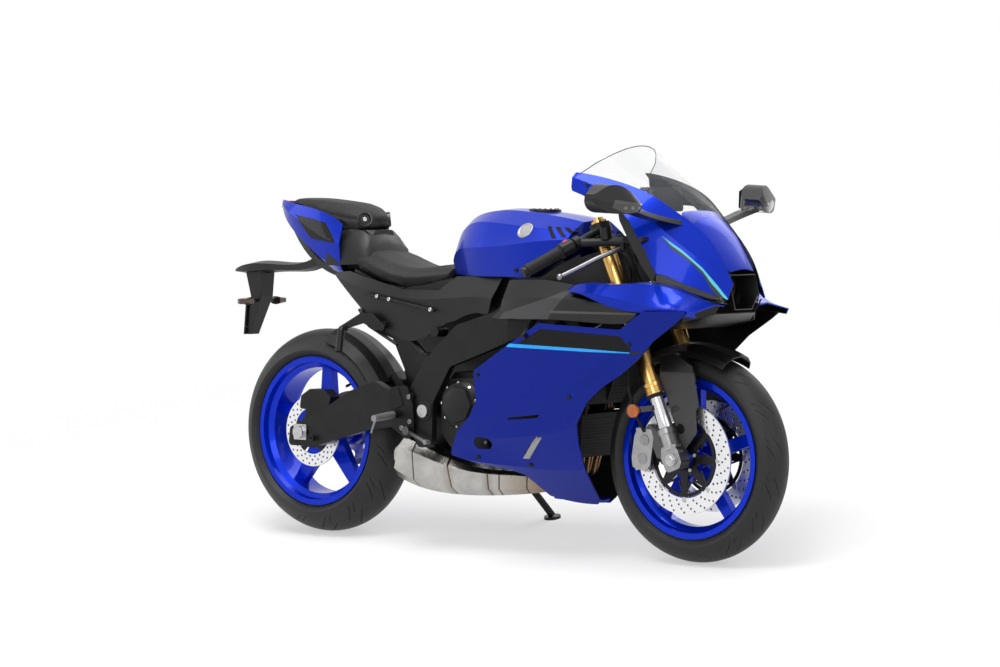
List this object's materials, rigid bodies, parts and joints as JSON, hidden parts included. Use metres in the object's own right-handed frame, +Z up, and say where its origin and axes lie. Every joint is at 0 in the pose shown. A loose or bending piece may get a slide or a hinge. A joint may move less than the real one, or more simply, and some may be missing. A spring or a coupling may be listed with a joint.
{
  "type": "sport motorcycle",
  "caption": "Faired sport motorcycle leaning on its side stand, with turning wheels, a steering fork and a folding stand.",
  "frame": {"origin": "on the floor under the middle of the overall box, the motorcycle leaning on its side stand", "axes": "+X towards the front wheel, +Y to the rider's left, +Z up"},
  "size_m": [2.0846, 0.869, 1.1746],
  "materials": {
    "amber": "amber lens",
    "black_metal": "satin black",
    "black_plastic": "matt black",
    "blue": "deep metallic gloss",
    "blue_plastic": "deep metallic gloss",
    "core": "black core",
    "disc": "ground",
    "engine": "dark grey cast",
    "gold": "gold anodised",
    "grey": "satin",
    "lens": "clear lens",
    "red_lens": "red lens",
    "rubber": "black hose",
    "screen": "clear",
    "steel": "brushed",
    "tyre": "matt",
    "vinyl": "matt black cover"
  },
  "bodies": {
    "chassis": {"airbox": "black_plastic", "belly_keel": "blue_plastic", "cockpit": "black_plastic", "drive_chain": "steel", "drive_sprocket": "steel", "engine_block": "engine", "engine_covers": "engine", "exhaust_headers": "steel", "fairing_shoulders": "blue_plastic", "fairing_stays": "black_metal", "footrests": "black_metal", "fuel_cap": "black_metal", "fuel_tank": "blue", "headlights": "lens", "inner_panels": "black_plastic", "main_frame": "black_metal", "mirrors": "black_plastic", "nose_duct": "black_plastic", "pillion_pegs": "black_metal", "pillion_seat": "vinyl", "pivot_spindle": "steel", "plate_hanger": "black_plastic", "radiators": "core", "rear_axle": "steel", "rear_caliper": "grey", "rear_hugger": "black_plastic", "rear_indicators": "amber", "rear_shock": "steel", "rider_seat": "vinyl", "side_covers": "black_plastic", "side_fairing_left": "blue_plastic", "side_fairing_right": "blue_plastic", "silencer": "steel", "stand_mount": "black_metal", "subframe": "black_metal", "swingarm": "black_metal", "tail_cowl": "blue_plastic", "tail_light": "red_lens", "undertail": "black_plastic", "upper_fairing": "blue_plastic", "windscreen": "screen"},
    "steering": {"brake_hoses": "rubber", "fork_sliders": "grey", "fork_tubes": "gold", "fork_yokes": "black_metal", "front_axle": "steel", "front_calipers": "grey", "front_mudguard": "black_plastic", "handlebars": "black_metal", "reflectors": "amber"},
    "front_wheel": {"front_disc_left": "disc", "front_disc_right": "disc", "front_rim": "blue", "front_tyre": "tyre"},
    "rear_wheel": {"rear_disc": "disc", "rear_rim": "blue", "rear_sprocket": "steel", "rear_tyre": "tyre"},
    "side_stand": {"side_stand": "black_metal"}
  },
  "joints": [
    {"name": "steering", "type": "hinge", "parent": "chassis", "child": "steering", "pos_m": [0.52058, -0.05103, 0.74887], "axis": [-0.3851, 0.1682, 0.9074], "range_deg": [-25, 25]},
    {"name": "front_wheel", "type": "hinge", "parent": "steering", "child": "front_wheel", "pos_m": [0.74371, -0.13485, 0.29657], "axis": [0, 0.9833, -0.1822], "continuous": true},
    {"name": "rear_wheel", "type": "hinge", "parent": "chassis", "child": "rear_wheel", "pos_m": [-0.67629, -0.13194, 0.3123], "axis": [0, 0.9833, -0.1822], "continuous": true},
    {"name": "side_stand", "type": "hinge", "parent": "chassis", "child": "side_stand", "pos_m": [-0.10629, 0.02046, 0.22914], "axis": [0.1496, 0.8872, 0.4365], "range_deg": [0, 95]}
  ]
}
